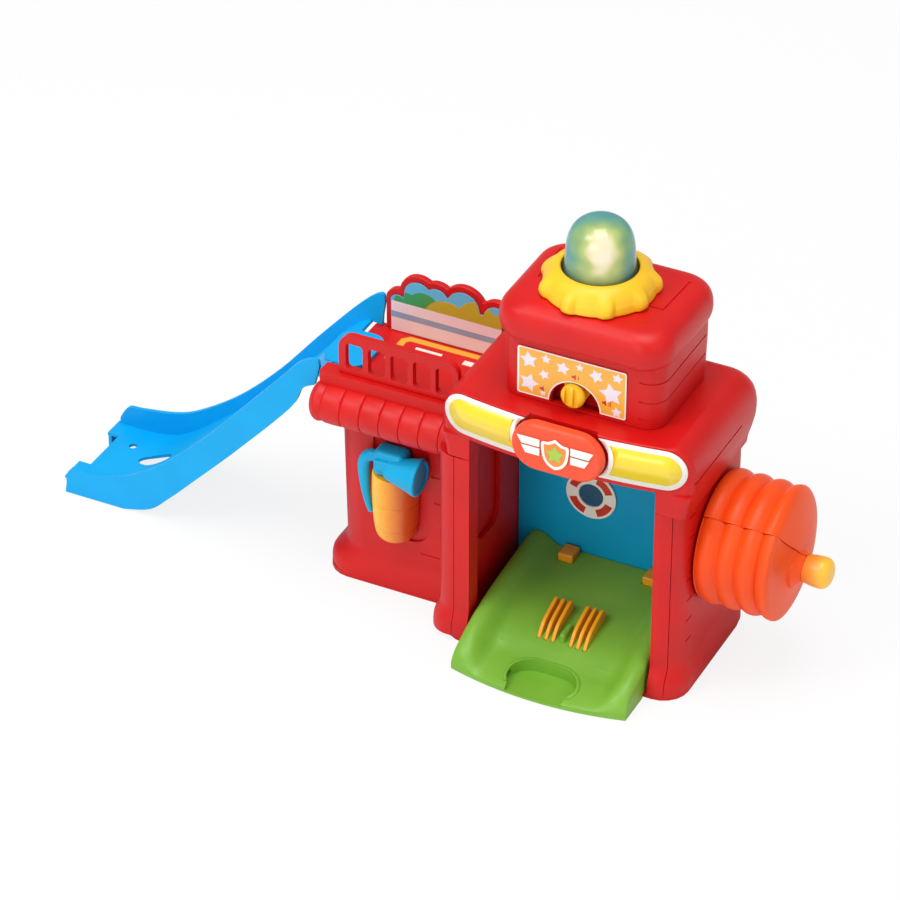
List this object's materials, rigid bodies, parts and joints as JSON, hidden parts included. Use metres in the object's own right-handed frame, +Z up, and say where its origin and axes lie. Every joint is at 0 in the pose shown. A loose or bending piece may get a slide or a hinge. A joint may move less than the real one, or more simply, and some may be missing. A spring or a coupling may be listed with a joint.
{
  "type": "toy fire station",
  "caption": "Red plastic toy fire station with a garage and ramp, a roof deck with a slide, a tower beacon, a hose reel and a push-button sign.",
  "frame": {"origin": "on the floor under the middle of the garage block, on the base plate's flat underside", "axes": "+X to the right along the front as seen facing the garage doorway (the slide is at -X and the hose reel at +X), +Y to the back, +Z up"},
  "size_m": [0.4286, 0.1185, 0.2463],
  "materials": {
    "back_panel": "moulded blue plastic",
    "badge_board": "green circuit board",
    "badge_button": "moulded orange plastic",
    "badge_emblem": "printed sticker, white winged shield",
    "badge_switch": "black push switch",
    "base_plate": "moulded red plastic",
    "base_screw_1": "plain steel screw",
    "base_screw_2": "plain steel screw",
    "base_screw_3": "plain steel screw",
    "base_screw_4": "plain steel screw",
    "battery_1": null,
    "battery_2": null,
    "battery_contact_1": "sprung steel contact plate",
    "battery_contact_2": "sprung steel contact plate",
    "battery_door": "moulded red plastic",
    "battery_tray": "moulded black plastic",
    "beacon_collar": "moulded yellow plastic",
    "beacon_dome": "translucent blue-green plastic",
    "beacon_lamp": "clear light-emitting diode",
    "block_walls": "moulded red plastic",
    "cloud_board": "moulded red plastic",
    "cloud_sticker": null,
    "deck_plate": "moulded red plastic",
    "dome_spring": "spring wire",
    "extinguisher_bottle": "moulded yellow plastic shading to orange",
    "extinguisher_head": "moulded blue plastic",
    "extinguisher_hose": "moulded blue plastic",
    "garage_liner": "moulded red plastic",
    "garage_roof": "moulded red plastic",
    "garage_walls": "moulded red plastic",
    "lamp_tray": "white moulded tray",
    "life_ring": "printed foam-backed sticker, white and red ring",
    "main_board": "green circuit board",
    "railing": "moulded red plastic",
    "ramp": "moulded green plastic",
    "reel_axle": "moulded red plastic",
    "reel_lower_half": "moulded orange plastic",
    "reel_nozzle": "moulded yellow plastic",
    "reel_upper_half": "moulded orange plastic",
    "rib_insert": "moulded orange plastic",
    "roof_edge": "moulded red plastic",
    "sign_sticker_left": "laminated printed paper, yellow with a pale border",
    "sign_sticker_right": "laminated printed paper, yellow with a pale border",
    "slide": "moulded light blue plastic",
    "speaker": "black speaker frame and cone",
    "tower_cap": "moulded red plastic",
    "tower_sticker": "laminated printed paper, yellow with pale stars",
    "tower_walls": "moulded red plastic",
    "volume_board": "green circuit board",
    "volume_switch": "moulded yellow plastic",
    "wheel_stop": "moulded yellow plastic"
  },
  "bodies": {
    "station": {"back_panel": "back_panel", "badge_board": "badge_board", "badge_switch": "badge_switch", "base_plate": "base_plate", "base_screw_1": "base_screw_1", "base_screw_2": "base_screw_2", "base_screw_3": "base_screw_3", "base_screw_4": "base_screw_4", "battery_1": "battery_1", "battery_2": "battery_2", "battery_contact_1": "battery_contact_1", "battery_contact_2": "battery_contact_2", "battery_door": "battery_door", "battery_tray": "battery_tray", "beacon_collar": "beacon_collar", "beacon_lamp": "beacon_lamp", "block_walls": "block_walls", "cloud_board": "cloud_board", "cloud_sticker": "cloud_sticker", "deck_plate": "deck_plate", "dome_spring": "dome_spring", "extinguisher_bottle": "extinguisher_bottle", "extinguisher_head": "extinguisher_head", "extinguisher_hose": "extinguisher_hose", "garage_liner": "garage_liner", "garage_roof": "garage_roof", "garage_walls": "garage_walls", "lamp_tray": "lamp_tray", "life_ring": "life_ring", "main_board": "main_board", "railing": "railing", "ramp": "ramp", "reel_axle": "reel_axle", "rib_insert": "rib_insert", "roof_edge": "roof_edge", "sign_sticker_left": "sign_sticker_left", "sign_sticker_right": "sign_sticker_right", "speaker": "speaker", "tower_cap": "tower_cap", "tower_sticker": "tower_sticker", "tower_walls": "tower_walls", "volume_board": "volume_board", "wheel_stop": "wheel_stop"},
    "beacon": {"beacon_dome": "beacon_dome"},
    "badge": {"badge_button": "badge_button", "badge_emblem": "badge_emblem"},
    "volume": {"volume_switch": "volume_switch"},
    "reel": {"reel_upper_half": "reel_upper_half", "reel_lower_half": "reel_lower_half", "reel_nozzle": "reel_nozzle"},
    "slide": {"slide": "slide"}
  },
  "joints": [
    {"name": "dome_press", "type": "slide", "parent": "station", "child": "beacon", "axis": [0, 0, -1], "range_m": [0, 0.003], "stiffness_N_per_m": 200, "springref_m": -0.003, "deforming": ["dome_spring"]},
    {"name": "badge_press", "type": "slide", "parent": "station", "child": "badge", "axis": [0, 1, 0], "range_m": [0, 0.0025], "stiffness_N_per_m": 200, "springref_m": -0.003},
    {"name": "volume_swing", "type": "hinge", "parent": "station", "child": "volume", "pos_m": [0.0022, -0.027, 0.1545], "axis": [0, 1, 0], "range_deg": [-45, 45]},
    {"name": "reel_spin", "type": "hinge", "parent": "station", "child": "reel", "pos_m": [0.0685, 0.005, 0.075], "axis": [1, 0, 0], "continuous": true},
    {"name": "slide_lift", "type": "slide", "parent": "station", "child": "slide", "axis": [0, 0, 1], "range_m": [0, 0.02]}
  ]
}
